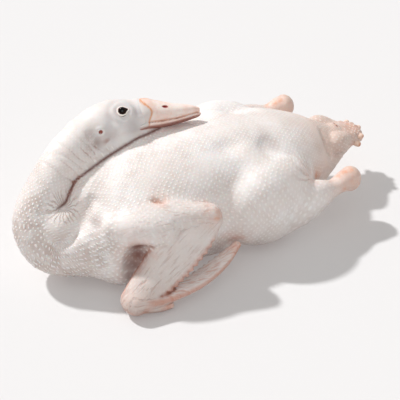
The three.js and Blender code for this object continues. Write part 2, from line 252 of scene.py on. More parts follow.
trunk = [(Egg(**mass), TRUNK_BLEND) for mass in (BREAST, BELLY, BACK)]
trunk += [(Egg(**mass), MASS_BLEND) for mass in (KEEL, FAR_SHOULDER)]
trunk += [(waist, MASS_BLEND) for waist in both_eggs(**WAIST)]
trunk += [(Limb(RUMP), TRUNK_BLEND), (Limb(VENT), MASS_BLEND), (Limb(MANTLE), MANTLE_BLEND)]
trunk += [(Egg(**NECK_ROLL), ROLL_BLEND)] + [(thigh, THIGH_BLEND) for thigh in both_eggs(**THIGH)]
trunk += [(hip, MASS_BLEND) for hip in both_limbs(HIP)]
upper_arms = [(arm, MASS_BLEND) for arm in both_limbs(UPPER_ARM)]
neck = Limb(NECK, across=(0, 1, 0))
throat, head = Limb(THROAT), Limb(HEAD)
hollows = [(Limb(NECK_FOLD), NECK_FOLD_BLEND)]
for hollow, width in ((REAR_FLANK, FOLD_BLEND), (FRONT_FLANK, FOLD_BLEND), (ARMPIT, CREASE_BLEND)):
    hollows += [(egg, width) for egg in both_eggs(**hollow)]
hollows += [(limb, FOLD_BLEND) for limb in both_limbs(WEB_HOLLOW)]
hollows += [(limb, WING_BLEND) for limb in both_limbs(TAIL_FOLD)]
webs = [(web, WEB_BLEND) for web in both_limbs(WEB)]
forearms = [(arm, WING_BLEND) for arm in both_limbs(FOREARM)]
hands = [(hand, FINE_BLEND) for hand in both_limbs(HAND)]
thumbs = [(thumb, FINE_BLEND) for thumb in both_limbs(THUMB)]
shanks = [(Limb(LEFT_SHANK), LIMB_BLEND), (Limb(RIGHT_SHANK), LIMB_BLEND)]
tail = [(Limb(TAIL), LIMB_BLEND)] + [(lobe, FINE_BLEND) for lobe in both_limbs(TAIL_LOBE)]
tail += [(Limb(GLAND), FINE_BLEND)]
attached = [(throat, FOLD_BLEND), (head, FINE_BLEND)] + shanks + forearms + webs + hands + thumbs + tail


def flesh(p):
    """The whole bird, flattened where it rests."""
    total = joined(np.full(len(p), FAR), trunk + upper_arms + [(neck, neck_fillet)], p)
    total = joined(pressed(total, hollows, p), attached, p)
    return np.maximum(total, -p[:, 2])


def surface(distance, low, high, cell):
    """Closed quads on the zero surface of a distance, one point for each cell that it crosses."""
    coarse = 4
    low, high = np.array(low, float), np.array(high, float)
    count = np.ceil((high - low) / cell).astype(int) + 1
    lines = [(low[a] + cell * np.arange(count[a]))[::coarse] for a in range(3)]
    rough = np.stack(np.meshgrid(*lines, indexing="ij"), -1)
    value = distance(rough.reshape(-1, 3)).reshape(rough.shape[:3])
    for a in range(3):
        value = np.repeat(value, coarse, a)
    value = value[:count[0], :count[1], :count[2]].copy()
    near = np.abs(value) < cell * coarse * 2
    value[near] = distance(low + np.argwhere(near) * cell)
    inside = value < 0
    corners = [(i, j, k) for i in (0, 1) for j in (0, 1) for k in (0, 1)]
    filled = sum(inside[i:count[0] - 1 + i, j:count[1] - 1 + j, k:count[2] - 1 + k].astype(int)
                 for i, j, k in corners)
    cells = np.argwhere((filled > 0) & (filled < 8))
    number = np.full(count - 1, -1)
    number[tuple(cells.T)] = np.arange(len(cells))
    total, hits = np.zeros((len(cells), 3)), np.zeros(len(cells))
    for first in range(8):
        for second in range(first + 1, 8):
            a, b = np.array(corners[first]), np.array(corners[second])
            if np.abs(a - b).sum() != 1:
                continue
            at_a, at_b = value[tuple((cells + a).T)], value[tuple((cells + b).T)]
            cut = (at_a < 0) != (at_b < 0)
            t = at_a[cut] / (at_a[cut] - at_b[cut])
            total[cut] += a + t[:, None] * (b - a)
            hits[cut] += 1
    points = low + cell * (cells + total / hits[:, None])
    quads = []
    unit = np.eye(3, dtype=int)
    for axis in range(3):
        u, w = unit[(axis + 1) % 3], unit[(axis + 2) % 3]
        start = [slice(None)] * 3
        end = [slice(None)] * 3
        start[axis], end[axis] = slice(0, -1), slice(1, None)
        edges = np.argwhere(inside[tuple(start)] != inside[tuple(end)])
        ring = np.stack([number[tuple((edges - o).T)] for o in (u + w, w, 0 * u, u)], 1)
        outward = ~inside[tuple(edges.T)]
        ring[outward] = ring[outward][:, ::-1]
        quads.append(ring)
    return points, np.vstack(quads)


def settle(points, distance, rounds=2):
    """Moves points onto the zero surface, and gives the way out of it there."""
    step = 0.2
    for _ in range(rounds):
        here = distance(points)
        slope = np.stack([distance(points + step * axis) - here for axis in np.eye(3)], 1) / step
        size = np.maximum((slope ** 2).sum(1), 0.2)
        points = points - slope * (np.clip(here, -1, 1) / size)[:, None]
    return points, slope / np.maximum(np.linalg.norm(slope, axis=1), 1e-6)[:, None]


points, quads = surface(flesh, (-190, -105, -5), (175, 105, 135), SKIN_CELL)
points, outward = settle(points, flesh)


def ripple(p, size, seed):
    """Soft waves about this size, between -1 and 1, the same on each run."""
    random = np.random.default_rng(seed)
    total = np.zeros(len(p))
    for _ in range(6):
        way = random.normal(size=3)
        way *= random.uniform(0.7, 1.4) * 2 * math.pi / size / np.linalg.norm(way)
        total += np.sin(p @ way + random.uniform(0, 6.3))
    return total / 3.2


# Feather follicles stand in slanting rows round the trunk and each limb. A place on the lattice is
# counted in rows, first one slant and then the other. In front of BREAST_X the rows close round the
# breast, and behind RUMP_END fewer of them go on round the tail.
ROW_MM = 5.2
TRUNK_ROWS_ROUND, TAIL_END_ROWS_ROUND = 70, 34
BREAST_X, RUMP_END, TRUNK_AXIS_Z = -62, 106, 44
NECK_ROWS_ROUND, NECK_ROOT_MORE = 28, 22
ROWS_ROUND = {"shank": 14.0, "tail": 16.0, "head": 18.0}


def slanted(a, b):
    return np.stack([(a + b) / 2, (a - b) / 2], 1)


round_trunk = np.arctan2(points[:, 1], points[:, 2] - TRUNK_AXIS_Z) / (2 * math.pi)
from_axis = np.hypot(points[:, 1], points[:, 2] - TRUNK_AXIS_Z)
past_breast = np.arctan2(np.maximum(BREAST_X - points[:, 0], 0), from_axis)
along_trunk = np.maximum(points[:, 0], BREAST_X) + BREAST_X * past_breast
rows_round = np.where(points[:, 0] > RUMP_END, TAIL_END_ROWS_ROUND, TRUNK_ROWS_ROUND)
trunk_place = slanted(along_trunk / ROW_MM * 2, round_trunk * rows_round * 2)
trunk_near = joined(np.full(len(points), FAR), trunk, points)

limbs = [("neck", neck)] + [("shank", s) for s, _ in shanks]
limbs += [("upper", a) for a, _ in upper_arms] + [("forearm", a) for a, _ in forearms]
limbs += [("hand", h) for h, _ in hands] + [("head", head), ("tail", tail[0][0])]
first = np.full(len(points), FAR * 10)
second = np.full(len(points), FAR * 10)
limb_place = np.zeros((len(points), 2))
limb_dots = np.zeros(len(points))
grain = np.zeros((len(points), 3))
for name, limb in limbs:
    away = limb.distance(points)
    along, s, u, _, wide, tall, _ = limb.local(points)
    if name in ("upper", "forearm", "hand"):
        place = slanted(along / ROW_MM * 2, s * wide / ROW_MM * 2)
        dots = np.full(len(points), 0.3 if name == "upper" else 0.12)
        grain = np.where((away < first)[:, None], np.stack([along, s * wide, u * tall], 1), grain)
    else:
        turn = np.arctan2(s, -u if name == "neck" else u) / (2 * math.pi)
        if name == "neck":
            rows = NECK_ROWS_ROUND + NECK_ROOT_MORE * (1 - smooth(limb.length, 30, 95))
        else:
            rows = np.full(len(limb.length), ROWS_ROUND[name])
        girth = 2 * math.pi * (limb.wide + limb.tall) / 2 / rows
        counted = np.concatenate([[0], np.cumsum(np.diff(limb.length) / (girth[1:] + girth[:-1]) * 2)])
        rows = np.interp(along, limb.length, rows)
        place = slanted(np.interp(along, limb.length, counted) * 2, turn * rows * 2)
        dots = {
            "neck": 1.5 - 1.3 * smooth(along, 115, 168), "shank": 0.5 - 0.35 * smooth(along, 50, 70),
            "tail": np.full(len(points), 0.7),
        }.get(name, np.zeros(len(points)))
        dots = dots * smooth((0.5 - np.abs(turn)) * rows, 0.1, 7.0 if name == "neck" else 0.5)
    closest = away < first
    second = np.where(closest, first, np.minimum(second, away))
    first = np.where(closest, away, first)
    limb_place[closest] = place[closest]
    limb_dots = np.where(closest, dots, limb_dots)
limb_share = smooth(trunk_near - first, -3, 3)
wing_near = np.full(len(points), FAR * 10)
for arm, _ in upper_arms + forearms + hands:
    wing_near = np.minimum(wing_near, arm.distance(points))
wing_share = smooth(np.minimum(trunk_near, 8) - wing_near, -1, 5)
# The wing's greyer tone is deepened below about 50 mm as painted shade.
wing_share *= 0.65 + 0.85 * smooth(-points[:, 2], -50, -15)
hand_share = np.zeros(len(points))
for hand, _ in hands:
    past_wrist = smooth(hand.local(points)[0], 12, 30)
    hand_share = np.maximum(hand_share, past_wrist * smooth(wing_near - hand.distance(points), -1.5, 0))
hand_share *= np.minimum(wing_share, 1)
wing_share *= 1 - 0.6 * hand_share
# Painted shade in the narrow gap between each forearm and its hand.
tuck_shade = np.zeros(len(points))
for (arm, _), (hand, _) in zip(forearms, hands):
    apart = np.abs(arm.distance(points)) + np.abs(hand.distance(points))
    tuck_shade = np.maximum(tuck_shade, smooth(-apart, -3.8, -0.8) * smooth(hand.local(points)[0], 16, 30))
limb_dots *= limb_share * smooth(second - first, 0.3, 2)


def spots(places, p):
    """The most of several soft spots, each given as x, y, z, radius, strength."""
    total = np.zeros(len(p))
    for x, y, z, radius, strength in places:
        total = np.maximum(total, strength * np.exp(-((p - (x, y, z)) ** 2).sum(1) / radius ** 2))
    return total


# Dark blood-red hollows under the skin web of each wing, their red the skin's own and their depth of dark
# painted shade.
PITS = [
    (-95, -58, 50, 8, 1.0), (-95, -58, 40, 9, 1.0), (-100, -61, 33, 9, 1.0), (-104, -62, 24, 7, 0.8),
    (-106, -57, 40, 6, 0.35),
]
PITS += [(x, -y, z, radius, strength) for x, y, z, radius, strength in PITS]
breast_share = (1 - smooth(points[:, 0], -95, -10)) * (1 - 0.6 * smooth(points[:, 2], 55, 80))
trunk_dots = (1 - limb_share) * (0.42 + 0.6 * breast_share + 0.2 * smooth(points[:, 0], 112, 128))
trunk_dots *= smooth(np.abs(points[:, 0] - RUMP_END), 0.5, 5)
BEND = np.array((-139.8, -7.5, 73.2))
patchy = (0.8 + 0.35 * ripple(points, 36, 3)) * smooth(np.linalg.norm(points - BEND, axis=1), 8, 24)
pit = spots(PITS, points)
trunk_dots *= patchy * (1 - pit)
limb_dots *= patchy * (1 - pit)
sway = np.stack([ripple(points, 30, 5), ripple(points, 30, 6)], 1) * 0.4
sway += np.stack([ripple(points, 11, 7), ripple(points, 11, 8)], 1) * 0.14
trunk_place += sway
limb_place += sway


def follicles(place):
    """Raised round dots on the lattice, from 0 to 1."""
    return smooth(np.cos(2 * math.pi * place).sum(1), 0.6, 1.9)


DOT_HEIGHT = 0.42
lift = DOT_HEIGHT * (trunk_dots * follicles(trunk_place) + limb_dots * follicles(limb_place))


def on(limb, along, degrees):
    """A place on a limb's skin, so far along it and so far round from its side, and the way out."""
    share = [np.interp(along, limb.length, values) for values in (limb.wide, limb.tall)]
    frame_of = [np.array([np.interp(along, limb.length, vectors[:, i]) for i in range(3)])
                for vectors in (limb.centre, limb.side, limb.up)]
    c, s = math.cos(math.radians(degrees)), math.sin(math.radians(degrees))
    way = frame_of[1] * c / share[0] + frame_of[2] * s / share[1]
    spot = frame_of[0] + frame_of[1] * c * share[0] + frame_of[2] * s * share[1]
    return spot, way / np.linalg.norm(way)


# Wrinkles run half round the upper neck, one behind the other.
NECK_WRINKLES, FIRST_WRINKLE, WRINKLE_GAP, WRINKLE_DEPTH = 8, 150, 6.5, 0.9
along_neck, across_neck = neck.local(points)[:2]
on_neck = smooth(trunk_near - neck.distance(points), -2, 4)
for i in range(NECK_WRINKLES):
    where = FIRST_WRINKLE + WRINKLE_GAP * i + 2.2 * ripple(points, 30, 20 + i)
    band = np.exp(-((along_neck - where) / 1.3) ** 2)
    outside = smooth(-across_neck + 0.6 * ripple(points, 25, 40 + i), -0.5, 0.7)
    lift -= WRINKLE_DEPTH * on_neck * band * outside

# Fine folds run up and forward from the hollow of each knee.
KNEE, KNEE_FOLDS = (77, 60, 57), 22
from_knee = points * (1, 0, 1) + np.abs(points) * (0, 1, 0) - KNEE
knee_way = np.arctan2(from_knee[:, 2], -from_knee[:, 0])
knee_reach = np.linalg.norm(from_knee, axis=1)
knee_amount = smooth(knee_reach, 4, 9) * smooth(knee_reach, 34, 15)
knee_amount *= 0.7 * smooth(knee_way, 0.3, 0.6) * smooth(knee_way, 2.0, 1.5)
knee_phase = knee_way * KNEE_FOLDS + 1.4 * ripple(points, 14, 60)

# The wing's trailing edges are scalloped where the quills sat.
SCALLOP_MM, SCALLOP_HEIGHT = 6.2, 0.9
edge = np.zeros(len(points))
for arm, _ in forearms + hands:
    along, s = arm.local(points)[:2]
    near = smooth(-arm.distance(points), -2.5, -0.5)
    behind = np.sign(arm.centre[0][1]) * s
    rim = smooth(behind, 0.72, 0.98) * near * smooth(along, 6, 16)
    edge = np.maximum(edge, np.maximum(rim, smooth(-behind, 0.86, 1) * near * smooth(along, 4, 16)))
    lift += SCALLOP_HEIGHT * rim * np.cos(2 * math.pi * along / SCALLOP_MM)

# The butts of the tail quills lift the skin over the tail's end in a row of lumps.
STUB_COUNT, STUB_ARC, LUMP_HEIGHT = 7, 130, 1.5
STUB_CENTRE = np.array((147.0, 0.0, 42.0))
STUB_WAYS = [math.radians(STUB_ARC * (i / (STUB_COUNT - 1) - 0.5)) for i in range(STUB_COUNT)]
lumps = np.zeros(len(points))
for way in STUB_WAYS:
    reach = (points - STUB_CENTRE) @ (math.cos(way), math.sin(way), 0)
    aside = (points - STUB_CENTRE) @ (-math.sin(way), math.cos(way), 0)
    lumps = np.maximum(lumps, smooth(reach, 7, 13) * np.exp(-(aside / 2.2) ** 2))
lift += LUMP_HEIGHT * lumps

# A low roll of skin lies round each eye, and a raised ring round each small ear opening.
EYES = [(-62.5, 33.1, 119.4), (-54.8, 47.0, 101.7)]
EARS = [on(head, 12.6, degrees)[0] for degrees in (-25, 205)]
for eye in EYES:
    away = np.linalg.norm(points - eye, axis=1)
    lift += 0.9 * np.exp(-((away - 8.4) / 1.7) ** 2) - 0.5 * np.exp(-((away - 12) / 2) ** 2)
for ear in EARS:
    away = np.linalg.norm(points - ear, axis=1)
    lift += 0.9 * np.exp(-((away - 3.4) / 1.4) ** 2) - 1.6 * np.exp(-(away / 1.5) ** 2)

lift *= smooth(points[:, 2], 0.2, 3)
points = points + outward * lift[:, None]
points[:, 2] = np.maximum(points[:, 2], 0)


PER_METRE = 1000.0


def mesh_object(name, points, faces, values=None, vectors=None):
    """A smooth mesh in metres from points in millimetres, with named values on its points."""
    mesh = bpy.data.meshes.new(name)
    mesh.from_pydata((np.asarray(points) / PER_METRE).tolist(), [], [list(face) for face in faces])
    mesh.polygons.foreach_set("use_smooth", [True] * len(mesh.polygons))
    for key, value in (values or {}).items():
        mesh.attributes.new(key, "FLOAT", "POINT").data.foreach_set("value", np.asarray(value, np.float32))
    for key, value in (vectors or {}).items():
        layer = mesh.attributes.new(key, "FLOAT_VECTOR", "POINT")
        layer.data.foreach_set("vector", np.asarray(value, np.float32).ravel())
    piece = bpy.data.objects.new(name, mesh)
    bpy.context.scene.collection.objects.link(piece)
    return piece


def cavity(points, quads, rounds):
    """How hollow the mesh is at each point, in millimetres, against its neighbours' mean."""
    mean = points
    for _ in range(rounds):
        total, count = np.zeros((len(points), 3)), np.zeros(len(points))
        for i in range(4):
            for j in (1, 3):
                np.add.at(total, quads[:, i], mean[quads[:, (i + j) % 4]])
                np.add.at(count, quads[:, i], 1)
        mean = total / count[:, None]
    return ((mean - points) * outward).sum(1)


hollow = cavity(points, quads, 4)
# Painted shadow: a thin dark line along where the head and neck lie on the back.
head_near = np.min([limb.distance(points) for limb in (head, neck, throat)], axis=0)
contact_shadow = np.exp(-((head_near - trunk_near) / 1.8) ** 2) * smooth(head_near + trunk_near, 11, 4)
contact_shadow *= smooth(points[:, 0], -150, -139) * smooth(points[:, 2], 62, 74) * smooth(points[:, 0], 12, -8)

# Soft spots of colour, each as x, y, z, radius and strength: pink flushes over the joints, small
# orange sores where the knobs and quills were scraped, grey-brown bruises on the head, painted shade
# in the hollow by the near hip and along the near low flank, and grey patches about the eyes.
BLUSH = [
    (-112, -82, 10, 15, 0.5), (-30, -69, 66, 11, 0.8), (-98, -64, 52, 12, 0.7), (116, -58, 42, 13, 1.0),
    (103, -66, 40, 9, 0.7), (88, -47, 46, 8, 0.9), (156, 0, 44, 14, 1.0), (150, -17, 40, 9, 0.9),
    (-6, -70, 24, 12, 0.8), (-84, -92, 6, 9, 0.8), (-68, -46, 80, 7, 0.8),
    (-100, -62, 38, 9, 0.8), (75, -58, 62, 8, 0.6),
]
BLUSH += [(x, -y, z, radius, strength) for x, y, z, radius, strength in BLUSH if y]
SORE = [
    (93, -63, 51, 3, 0.7), (98, -61, 51, 3, 0.8), (103, -60, 51, 3, 0.9), (110.5, -59, 53, 3.5, 1.0),
    (117, -59, 53, 3.5, 1.0), (104, -69, 42, 3, 0.7), (120, -66, 40, 4, 0.7), (88, -47, 49, 3.5, 1.0),
    (94, -43, 44, 3, 0.9), (101, 61, 54, 3.5, 0.9), (106.5, 57, 57, 3.5, 1.0), (113, 56, 59, 3.5, 1.0),
    (118, 58, 57, 4, 0.8), (139, 0, 58, 1.6, 1.0), (-26, -72, 72, 3, 0.7), (-30, -76, 68, 3, 0.7),
    (-69, -44, 78, 3, 0.7), (158, -8, 48, 3, 0.6), (160, 0, 48, 3, 0.6),
]
sore = spots(SORE, points)
# Painted shade: skin that faces down within about 16 mm of the floor darkens to red-brown.
low = smooth(-points[:, 2], -16, -1) * smooth(-outward[:, 2], -0.3, 0.6)
BRUISE_AND_SHADE = [
    (-92.6, 22.1, 104.7, 6, 1.0), (-98, 24, 112, 6, 0.6), (-80, 22, 106, 5, 0.5), (-102, 20, 104, 6, 0.5),
    # From here on, the spots by the hip and along the low flank are painted shade.
    (48, -16, 84, 8, 0.6), (54, -27, 79, 8, 0.7), (-20, -53, 14, 14, 0.8), (0, -59, 14, 12, 0.7),
    (-36, -51, 14, 13, 0.9), (18, -64, 16, 10, 0.6),
]
bruise_and_shade = spots(BRUISE_AND_SHADE, points)
blush = spots(BLUSH, points) * (1 - 0.6 * lumps)
EYE_GREY = [(x, y, z, 14, 0.8) for x, y, z in EYES] + [
    (-80, 22, 112, 11, 0.6), (-58, 26, 110, 9, 1.0), (-51, 30, 116, 7, 0.9), (-76, 30, 121, 7, 0.8),
]
eye_grey = spots(EYE_GREY, points)


def linear(hex_colour):
    """An sRGB hex colour as linear red, green, blue and alpha."""
    parts = [int(hex_colour[i:i + 2], 16) / 255 for i in (1, 3, 5)]
    return tuple(c / 12.92 if c <= 0.04045 else ((c + 0.055) / 1.055) ** 2.4 for c in parts) + (1.0,)


def add_node(tree, kind, settings, inputs, output=0):
    """Adds a node with its settings, its inputs set or linked, and gives one of its outputs."""
    node = tree.nodes.new(kind)
    for key, value in settings.items():
        setattr(node, key, value)
    for key, value in inputs.items():
        if isinstance(value, bpy.types.NodeSocket):
            tree.links.new(value, node.inputs[key])
        else:
            node.inputs[key].default_value = value
    return node.outputs[output] if len(node.outputs) else None


def new_material(name):
    material = bpy.data.materials.new(name)
    material.use_nodes = True
    material.node_tree.nodes.clear()
    return material, material.node_tree


# The kinds of node that every material here uses.
MATH, RANGE, BLENDED = "ShaderNodeMath", "ShaderNodeMapRange", "ShaderNodeMix"
NOISE, ATTRIBUTE, PLACE = "ShaderNodeTexNoise", "ShaderNodeAttribute", "ShaderNodeTexCoord"
MIX = {"data_type": "RGBA"}
SOFT = {"interpolation_type": "SMOOTHSTEP"}
TIMES, PLUS = {"operation": "MULTIPLY"}, {"operation": "ADD"}

# Plucked duck skin: thin, fatty and moist over pale flesh. Light goes a little way in, so it looks
# soft and creamy, with pink at the edges, painted brown-red shade in the creases and white tips on the
# follicles.
skin_material, tree = new_material("moist plucked duck skin")
place = add_node(tree, PLACE, {}, {}, "Object")
named = {}
for key in ("blush", "eye_grey", "hollow", "rear", "contact_shadow", "edge", "pit", "low", "wing", "hand", "bruise_and_shade",
            "tuck_shade", "sore", "knee_phase", "knee_amount"):
    named[key] = add_node(tree, ATTRIBUTE, {"attribute_name": key}, {}, "Fac")
noises = {}
for key, size_mm, detail, rough in (("cloud", 34, 3, 0.5), ("blotch", 9, 3, 0.6), ("fine", 1.1, 3, 0.6)):
    inputs = {"Vector": place, "Scale": PER_METRE / size_mm, "Detail": detail, "Roughness": rough}
    noises[key] = add_node(tree, NOISE, {}, inputs, "Fac")

# White follicle tips on both lattices, and painted shade on the skin between them.
tips, shades_between_dots = [], []
for key in ("trunk_rows", "limb_rows"):
    rows = add_node(tree, ATTRIBUTE, {"attribute_name": key}, {}, "Vector")
    parts = add_node(tree, "ShaderNodeSeparateXYZ", {}, {0: rows}, 0).node.outputs
    waves = []
    for i in (0, 1):
        turn = add_node(tree, MATH, TIMES, {0: parts[i], 1: 2 * math.pi})
        waves.append(add_node(tree, MATH, {"operation": "COSINE"}, {0: turn}))
    wave = add_node(tree, MATH, PLUS, {0: waves[0], 1: waves[1]})
    round_tip = add_node(tree, RANGE, SOFT, {0: wave, 1: 0.75, 2: 1.85})
    tips.append(add_node(tree, MATH, TIMES, {0: round_tip, 1: parts[2]}))
    low_skin = add_node(tree, RANGE, SOFT, {0: wave, 1: 1.4, 2: 0.3})
    patches = add_node(tree, RANGE, SOFT, {0: noises["blotch"], 1: 0.35, 2: 0.6, 3: 0.45})
    low_skin = add_node(tree, MATH, TIMES, {0: low_skin, 1: patches})
    shades_between_dots.append(add_node(tree, MATH, TIMES, {0: low_skin, 1: parts[2]}))
tip = add_node(tree, MATH, PLUS, {0: tips[0], 1: tips[1]})
shade_between_dots = add_node(tree, MATH, PLUS, {0: shades_between_dots[0], 1: shades_between_dots[1]})

# Streaks: long fine ones down the arm of the wing, and slanting quill rows over the hand.
wing = add_node(tree, ATTRIBUTE, {"attribute_name": "wing_grain"}, {}, "Vector")
stretched = add_node(tree, "ShaderNodeVectorMath", TIMES, {0: wing, 1: (0.07, 0.5, 0.5)})
streak = add_node(tree, NOISE, {}, {"Vector": stretched, "Scale": 1.0, "Detail": 3.0}, "Fac")
arm_streak = add_node(tree, RANGE, SOFT, {0: streak, 1: 0.5, 2: 0.72})
arm_streak = add_node(tree, MATH, TIMES, {0: arm_streak, 1: named["wing"]})
slopes = []
for slope in ((0.09, 0.03, 0), (-0.22, 0.50, 0)):
    dot = {"operation": "DOT_PRODUCT"}
    slopes.append(add_node(tree, "ShaderNodeVectorMath", dot, {0: wing, 1: slope}, 1))
slant = add_node(tree, "ShaderNodeCombineXYZ", {}, {0: slopes[0], 1: slopes[1]})
slant = add_node(tree, NOISE, {}, {"Vector": slant, "Scale": 1.0, "Detail": 3.0}, "Fac")
hand_streak = add_node(tree, RANGE, SOFT, {0: slant, 1: 0.48, 2: 0.66})
hand_streak = add_node(tree, MATH, TIMES, {0: hand_streak, 1: named["hand"]})

# Small marks with a sharp edge: the ear openings with their pale rings, and the pores of the gland.
GLAND_PORES = [(138.5, 2.2, 57.3), (138.5, -2.2, 57.3)]
marks = {}
for key, spots_at, inner, outer in (("ear", EARS, 1.5, 2.3), ("ring", EARS, 2.4, 4.6),
                                    ("pore", GLAND_PORES, 0.7, 1.5)):
    for spot in spots_at:
        centre = tuple(float(v) / PER_METRE for v in spot)
        away = add_node(tree, "ShaderNodeVectorMath", {"operation": "DISTANCE"}, {0: place, 1: centre}, 1)
        limits = {0: away, 1: inner / PER_METRE, 2: outer / PER_METRE, 3: 1.0, 4: 0.0}
        mark = add_node(tree, RANGE, SOFT, limits)
        if key in marks:
            mark = add_node(tree, MATH, {"operation": "MAXIMUM"}, {0: marks[key], 1: mark})
        marks[key] = mark

# Skin gathers in a fan of fine wrinkles where the neck bends back on itself. Its grooves are darkened with
# painted shade.
FAN_FOLDS = 19
centre = tuple(float(v) / PER_METRE for v in BEND)
from_bend = add_node(tree, "ShaderNodeVectorMath", {"operation": "SUBTRACT"}, {0: place, 1: centre})
parts = add_node(tree, "ShaderNodeSeparateXYZ", {}, {0: from_bend}, 0).node.outputs
turn = add_node(tree, MATH, {"operation": "ARCTAN2"}, {0: parts[1], 1: parts[0]})
turn = add_node(tree, MATH, PLUS, {0: turn, 1: noises["blotch"]})
turn = add_node(tree, MATH, TIMES, {0: turn, 1: FAN_FOLDS})
fan = add_node(tree, MATH, {"operation": "COSINE"}, {0: turn})
fan = add_node(tree, RANGE, SOFT, {0: fan, 1: 0.1, 2: 0.95})
reach = add_node(tree, "ShaderNodeVectorMath", {"operation": "LENGTH"}, {0: from_bend}, 1)
for inner, outer in ((0.001, 0.004), (0.019, 0.010)):
    part = add_node(tree, RANGE, SOFT, {0: reach, 1: inner, 2: outer})
    fan = add_node(tree, MATH, TIMES, {0: fan, 1: part})

# The folds at the knees are drawn the same way.
fold = add_node(tree, MATH, {"operation": "COSINE"}, {0: named["knee_phase"]})
fold = add_node(tree, RANGE, SOFT, {0: fold, 1: 0.1, 2: 0.95})
fold = add_node(tree, MATH, TIMES, {0: fold, 1: named["knee_amount"]})
fan = add_node(tree, MATH, PLUS, {0: fan, 1: fold})

# Cream skin with faint clouds and blotches, and over it each of the marks above. Painted shade darkens the
# dot gaps, wrinkles, lower wing, hip and flank spots, undersides, pits, tucks, creases and contact line.
share = add_node(tree, RANGE, SOFT, {0: noises["cloud"], 1: 0.38, 2: 0.62})
colour = add_node(tree, BLENDED, MIX, {0: share, 6: linear("#F1EDEB"), 7: linear("#EAE3DF")}, 2)
share = add_node(tree, RANGE, SOFT, {0: noises["blotch"], 1: 0.5, 2: 0.72, 4: 0.35})
colour = add_node(tree, BLENDED, MIX, {0: share, 6: colour, 7: linear("#E3D3CB")}, 2)
blotched = add_node(tree, RANGE, SOFT, {0: noises["blotch"], 1: 0.3, 2: 0.7, 3: 0.3})
flush = add_node(tree, MATH, TIMES, {0: named["blush"], 1: blotched})
scrape = add_node(tree, MATH, TIMES, {0: named["sore"], 1: blotched})
# Painted shade: the skin darkens brown-red the more hollow it is, in creases and recesses.
crease_shade = add_node(tree, RANGE, SOFT, {0: named["hollow"], 1: 0.12, 2: 0.9, 4: 0.85})
for amount, strength, shade in (
        (named["eye_grey"], 0.8, "#BBB5B6"), (named["rear"], 0.75, "#D8BBAB"), (shade_between_dots, 0.55, "#BFADA4"),
        (fan, 0.5, "#B9988A"), (named["wing"], 0.55, "#CBBDB6"), (arm_streak, 0.65, "#BBA198"),
        (flush, 0.85, "#DFA68E"), (scrape, 0.75, "#D9936A"), (hand_streak, 0.5, "#D0907A"),
        (named["bruise_and_shade"], 0.75, "#A8958E"), (named["edge"], 0.65, "#C4836A"), (named["low"], 0.75, "#A37565"),
        (named["pit"], 0.92, "#774539"), (named["tuck_shade"], 0.8, "#8A4A38"), (crease_shade, 1.0, "#A26C59"),
        (tip, 0.7, "#FBF8F5"), (named["contact_shadow"], 0.95, "#622D22"), (marks["ring"], 0.6, "#F7F2EE"),
        (marks["ear"], 0.95, "#8E2C0A"), (marks["pore"], 0.8, "#7E3F30")):
    share = add_node(tree, MATH, dict(TIMES, use_clamp=True), {0: amount, 1: strength})
    colour = add_node(tree, BLENDED, MIX, {0: share, 6: colour, 7: linear(shade)}, 2)

height = add_node(tree, MATH, TIMES, {0: tip, 1: 0.6})
for relief, amount in ((noises["fine"], 0.10), (noises["blotch"], 0.25), (arm_streak, -0.35),
                       (hand_streak, -0.4), (fan, -0.8)):
    part = add_node(tree, MATH, TIMES, {0: relief, 1: amount})
    height = add_node(tree, MATH, PLUS, {0: height, 1: part})
bump = add_node(tree, "ShaderNodeBump", {}, {"Height": height, "Strength": 0.7, "Distance": 0.001}, "Normal")
gloss = add_node(tree, RANGE, SOFT, {0: noises["fine"], 1: 0.3, 2: 0.7, 3: 0.40, 4: 0.56})
surface_of_skin = add_node(tree, "ShaderNodeBsdfPrincipled", {}, {
    "Base Color": colour, "Roughness": gloss, "IOR": 1.42, "Normal": bump, "Subsurface Weight": 0.15,
    "Subsurface Radius": (1.0, 0.45, 0.3), "Subsurface Scale": 0.003, "Coat Weight": 0.12,
    "Coat Roughness": 0.3})
add_node(tree, "ShaderNodeOutputMaterial", {}, {"Surface": surface_of_skin})

skin = mesh_object(
    "skin", points, quads,
    {"blush": blush, "eye_grey": eye_grey, "hollow": hollow, "rear": smooth(points[:, 0], 60, 130),
     "contact_shadow": contact_shadow, "edge": edge, "pit": pit, "low": low, "bruise_and_shade": bruise_and_shade, "wing": wing_share,
     "hand": hand_share, "tuck_shade": tuck_shade, "sore": sore, "knee_phase": knee_phase, "knee_amount": knee_amount},
    {"trunk_rows": np.column_stack([trunk_place, trunk_dots]),
     "limb_rows": np.column_stack([limb_place, limb_dots]), "wing_grain": grain})
skin.data.materials.append(skin_material)
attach(skin, "root")
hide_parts("duck")

# Bill. Smooth pale horn over bone: a broad upper half, deep at the base and flat at the tip, that
# closes over a slimmer lower half. It grows out of the face along a thin orange rim.
UPPER_BILL = [
    (-50, 34.9, 109.7, 9.5, 11.4, 50), (-42, 34.3, 110.7, 11, 13.4, 50), (-33, 32.9, 108.7, 10.8, 11.7, 50),
    (-16, 29.9, 105, 10.2, 8.6, 50), (-2, 28.6, 102.6, 9.6, 5.9, 50), (5, 27.8, 101, 7.6, 3.6, 50),
]
LOWER_BILL = [
    (-50, 27, 101.4, 8, 2.6, 50), (-42, 26.2, 101.5, 9.5, 2.4, 50), (-33, 25, 100.3, 9.2, 2, 50),
    (-16, 24.4, 98.7, 8.8, 1.6, 50), (-1, 25, 98, 8.4, 1.5, 50), (7, 25.5, 97.4, 6, 1.4, 50),
]
BILL_CELL = 0.7
BILL_BLEND = 0.6
NOSTRIL_ALONG, NOSTRIL_DEGREES, NOSTRIL_RADII = 25, 17, (2.5, 1.0, 1.5)
upper_bill, lower_bill = Limb(UPPER_BILL), Limb(LOWER_BILL)
